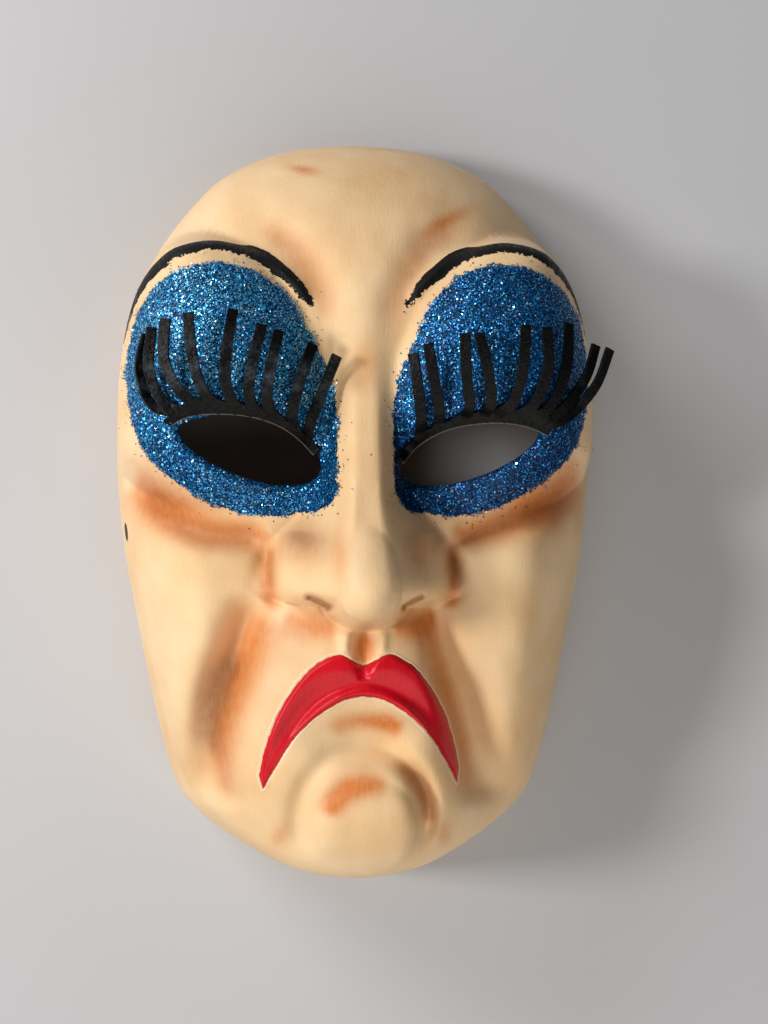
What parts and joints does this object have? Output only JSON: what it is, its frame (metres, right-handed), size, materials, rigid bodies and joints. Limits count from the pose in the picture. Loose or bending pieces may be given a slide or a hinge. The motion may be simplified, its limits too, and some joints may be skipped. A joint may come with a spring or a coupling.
{
  "type": "theatre mask",
  "caption": "Hollow papier-mache stage mask with a frowning mouth, cut-through eyes ringed in glitter, and curled leather lashes.",
  "frame": {"origin": "centre of the mask's outline on the plane of its rim", "axes": "+Z out of the face, +Y to the forehead, +X to the right of whoever looks at the face"},
  "size_m": [0.1582, 0.2442, 0.1037],
  "materials": {
    "painted_papier_mache": "satin",
    "leather": "satin"
  },
  "bodies": {
    "root": {"mask_shell": "painted_papier_mache", "lash_fringe_left": "leather", "lash_fringe_right": "leather"}
  },
  "joints": []
}
